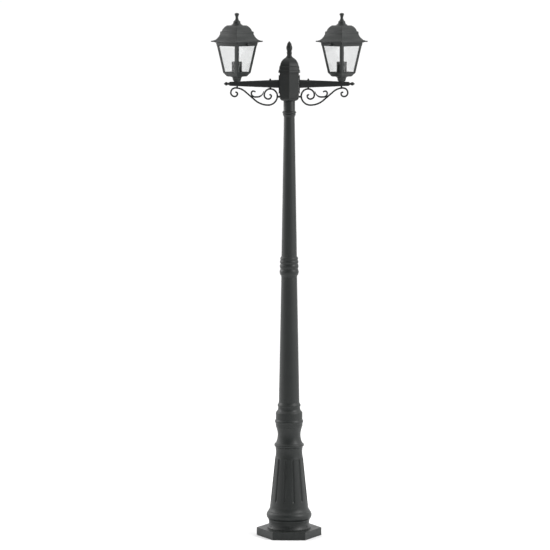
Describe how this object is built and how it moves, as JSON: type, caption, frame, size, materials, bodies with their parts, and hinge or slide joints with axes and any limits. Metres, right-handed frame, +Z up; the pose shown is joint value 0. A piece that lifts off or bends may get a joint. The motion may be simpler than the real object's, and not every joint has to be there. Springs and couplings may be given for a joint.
{
  "type": "street lamp post",
  "caption": "Street lamp post with a fluted pedestal, tapered shaft, hexagonal head and scrolled arms that carry four-sided lanterns with hinged roofs.",
  "frame": {"origin": "ground level on the post's axis, at the centre of the plinth's underside", "axes": "+Z up the post, +X along the right arm, +Y towards the inspection door at the back"},
  "size_m": [0.907, 0.329, 3.0565],
  "materials": {
    "cast_metal": "satin powder coat",
    "steel": "zinc plated",
    "rubber": "matt",
    "cable": "matt",
    "fuse_box": "moulded",
    "brass": "nickel free brass",
    "glass": "clear float glass",
    "holder": "matt",
    "ceramic": "glazed"
  },
  "bodies": {
    "post": {"base_plinth": "cast_metal", "cable_grommet": "rubber", "plinth_bolts": "steel", "pedestal": "cast_metal", "door_frame": "steel", "equipment_board": "steel", "fuse_unit": "fuse_box", "earth_stud": "brass", "pedestal_collar": "cast_metal", "pedestal_sleeve": "steel", "lower_shaft": "cast_metal", "shaft_collar": "cast_metal", "joint_sleeve": "steel", "upper_shaft": "cast_metal", "shaft_capital": "cast_metal", "hub_spigot": "steel", "hub_body": "cast_metal", "hub_setscrews": "steel", "hub_terminal": "fuse_box", "riser_cable": "cable", "left_arm": "cast_metal", "right_arm": "cast_metal", "arm_bolts": "steel", "left_arm_tip": "cast_metal", "right_arm_tip": "cast_metal", "left_scroll": "cast_metal", "right_scroll": "cast_metal", "scroll_bolts": "cast_metal", "wall_screws": "steel", "left_stem": "cast_metal", "right_stem": "cast_metal", "stem_nipples": "steel", "left_tray": "cast_metal", "right_tray": "cast_metal", "left_cage": "cast_metal", "right_cage": "cast_metal", "left_glass": "glass", "right_glass": "glass", "left_holder_cover": "holder", "right_holder_cover": "holder", "left_lampholder": "ceramic", "right_lampholder": "ceramic", "screw_shells": "brass", "left_gasket": "rubber", "right_gasket": "rubber", "left_hinge_pin": "steel", "right_hinge_pin": "steel", "left_arm_wires": "cable", "right_arm_wires": "cable"},
    "left_roof": {"left_roof": "cast_metal", "left_roof_finial": "cast_metal"},
    "right_roof": {"right_roof": "cast_metal", "right_roof_finial": "cast_metal"},
    "left_latch": {"left_latch": "cast_metal"},
    "right_latch": {"right_latch": "cast_metal"},
    "hub_cap": {"hub_cap": "cast_metal", "hub_finial": "cast_metal"},
    "door": {"door": "cast_metal"},
    "door_screw": {"door_screw": "steel"}
  },
  "joints": [
    {"name": "left_roof_hinge", "type": "hinge", "parent": "post", "child": "left_roof", "pos_m": [-0.36593, 0.06343, 2.88], "axis": [-0.7071, -0.7071, 0], "range_deg": [0, 100]},
    {"name": "left_latch_turn", "type": "hinge", "parent": "post", "child": "left_latch", "pos_m": [-0.23907, -0.06343, 2.867], "axis": [0, 0, 1], "range_deg": [0, 720]},
    {"name": "right_roof_hinge", "type": "hinge", "parent": "post", "child": "right_roof", "pos_m": [0.36593, 0.06343, 2.88], "axis": [-0.7071, 0.7071, 0], "range_deg": [0, 100]},
    {"name": "right_latch_turn", "type": "hinge", "parent": "post", "child": "right_latch", "pos_m": [0.23907, -0.06343, 2.867], "axis": [0, 0, 1], "range_deg": [0, 720]},
    {"name": "hub_cap_lift", "type": "slide", "parent": "post", "child": "hub_cap", "axis": [0, 0, 1], "range_m": [0, 0.12]},
    {"name": "door_lift_off", "type": "slide", "parent": "post", "child": "door", "axis": [0, 1, 0], "range_m": [0, 0.12]},
    {"name": "door_screw_turn", "type": "hinge", "parent": "door", "child": "door_screw", "pos_m": [0, 0.09, 0.321], "axis": [0, 1, 0], "range_deg": [0, 720]}
  ]
}
